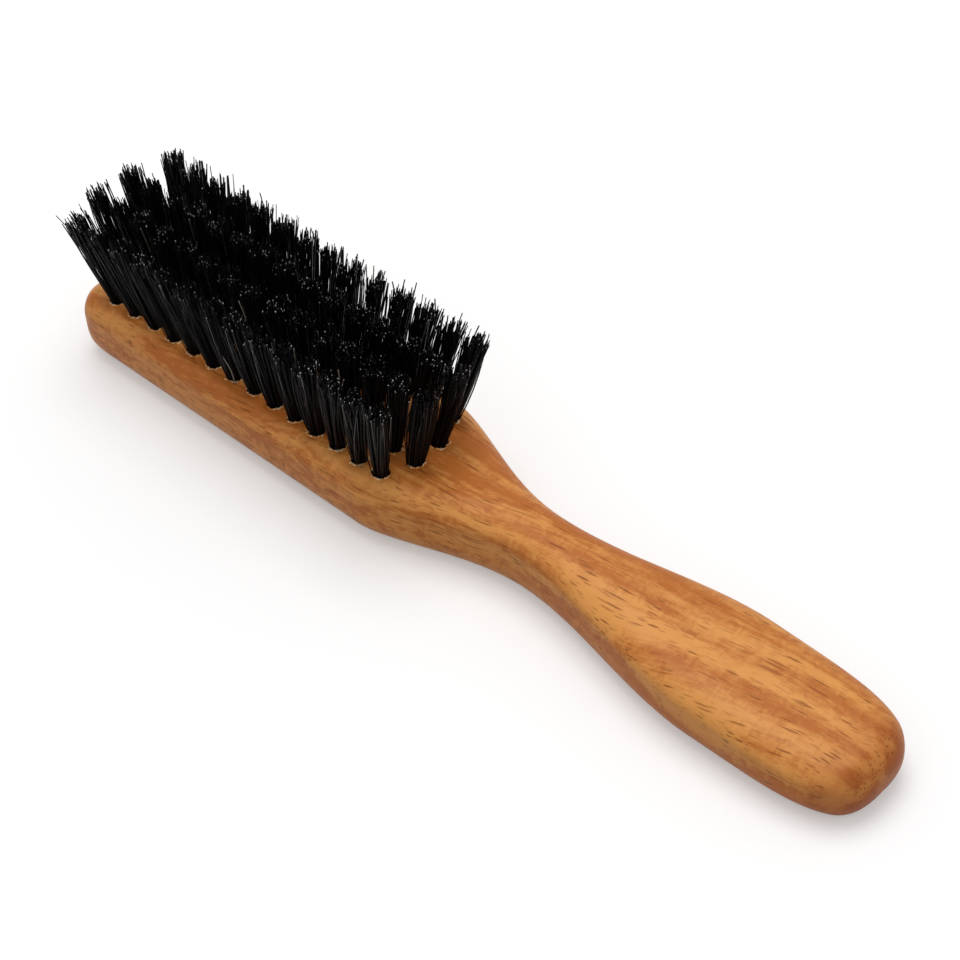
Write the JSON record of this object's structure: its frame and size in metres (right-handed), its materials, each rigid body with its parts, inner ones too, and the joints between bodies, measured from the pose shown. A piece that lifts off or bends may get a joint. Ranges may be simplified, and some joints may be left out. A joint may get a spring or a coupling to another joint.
{
  "type": "beard brush",
  "caption": "Wooden beard brush in one piece: slim flat head drilled with staggered rows of fanning dark bristle tufts, narrow neck and rounded paddle handle.",
  "frame": {"origin": "middle of the brush's length, on the flat back on which it lies", "axes": "+X from the tip of the head to the end of the handle, +Z out of the face along the bristles, Y across the head"},
  "size_m": [0.1756, 0.0284, 0.0351],
  "materials": {
    "beech": "satin clear lacquer over warm orange-brown beech",
    "boar_bristle": "near-black natural bristle with a thin sheen along the strands",
    "anchor_wire": "bare flat staple wire"
  },
  "bodies": {
    "root": {"brush_block": "beech", "bristle_field": "boar_bristle", "anchor_row1_01": "anchor_wire", "anchor_row1_02": "anchor_wire", "anchor_row1_03": "anchor_wire", "anchor_row1_04": "anchor_wire", "anchor_row1_05": "anchor_wire", "anchor_row1_06": "anchor_wire", "anchor_row1_07": "anchor_wire", "anchor_row1_08": "anchor_wire", "anchor_row1_09": "anchor_wire", "anchor_row1_10": "anchor_wire", "anchor_row1_11": "anchor_wire", "anchor_row1_12": "anchor_wire", "anchor_row1_13": "anchor_wire", "anchor_row1_14": "anchor_wire", "anchor_row2_01": "anchor_wire", "anchor_row2_02": "anchor_wire", "anchor_row2_03": "anchor_wire", "anchor_row2_04": "anchor_wire", "anchor_row2_05": "anchor_wire", "anchor_row2_06": "anchor_wire", "anchor_row2_07": "anchor_wire", "anchor_row2_08": "anchor_wire", "anchor_row2_09": "anchor_wire", "anchor_row2_10": "anchor_wire", "anchor_row2_11": "anchor_wire", "anchor_row2_12": "anchor_wire", "anchor_row2_13": "anchor_wire", "anchor_row2_14": "anchor_wire", "anchor_row2_15": "anchor_wire", "anchor_row3_01": "anchor_wire", "anchor_row3_02": "anchor_wire", "anchor_row3_03": "anchor_wire", "anchor_row3_04": "anchor_wire", "anchor_row3_05": "anchor_wire", "anchor_row3_06": "anchor_wire", "anchor_row3_07": "anchor_wire", "anchor_row3_08": "anchor_wire", "anchor_row3_09": "anchor_wire", "anchor_row3_10": "anchor_wire", "anchor_row3_11": "anchor_wire", "anchor_row3_12": "anchor_wire", "anchor_row3_13": "anchor_wire", "anchor_row3_14": "anchor_wire", "anchor_row3_15": "anchor_wire", "anchor_row4_01": "anchor_wire", "anchor_row4_02": "anchor_wire", "anchor_row4_03": "anchor_wire", "anchor_row4_04": "anchor_wire", "anchor_row4_05": "anchor_wire", "anchor_row4_06": "anchor_wire", "anchor_row4_07": "anchor_wire", "anchor_row4_08": "anchor_wire", "anchor_row4_09": "anchor_wire", "anchor_row4_10": "anchor_wire", "anchor_row4_11": "anchor_wire", "anchor_row4_12": "anchor_wire", "anchor_row4_13": "anchor_wire", "anchor_row4_14": "anchor_wire"}
  },
  "joints": []
}
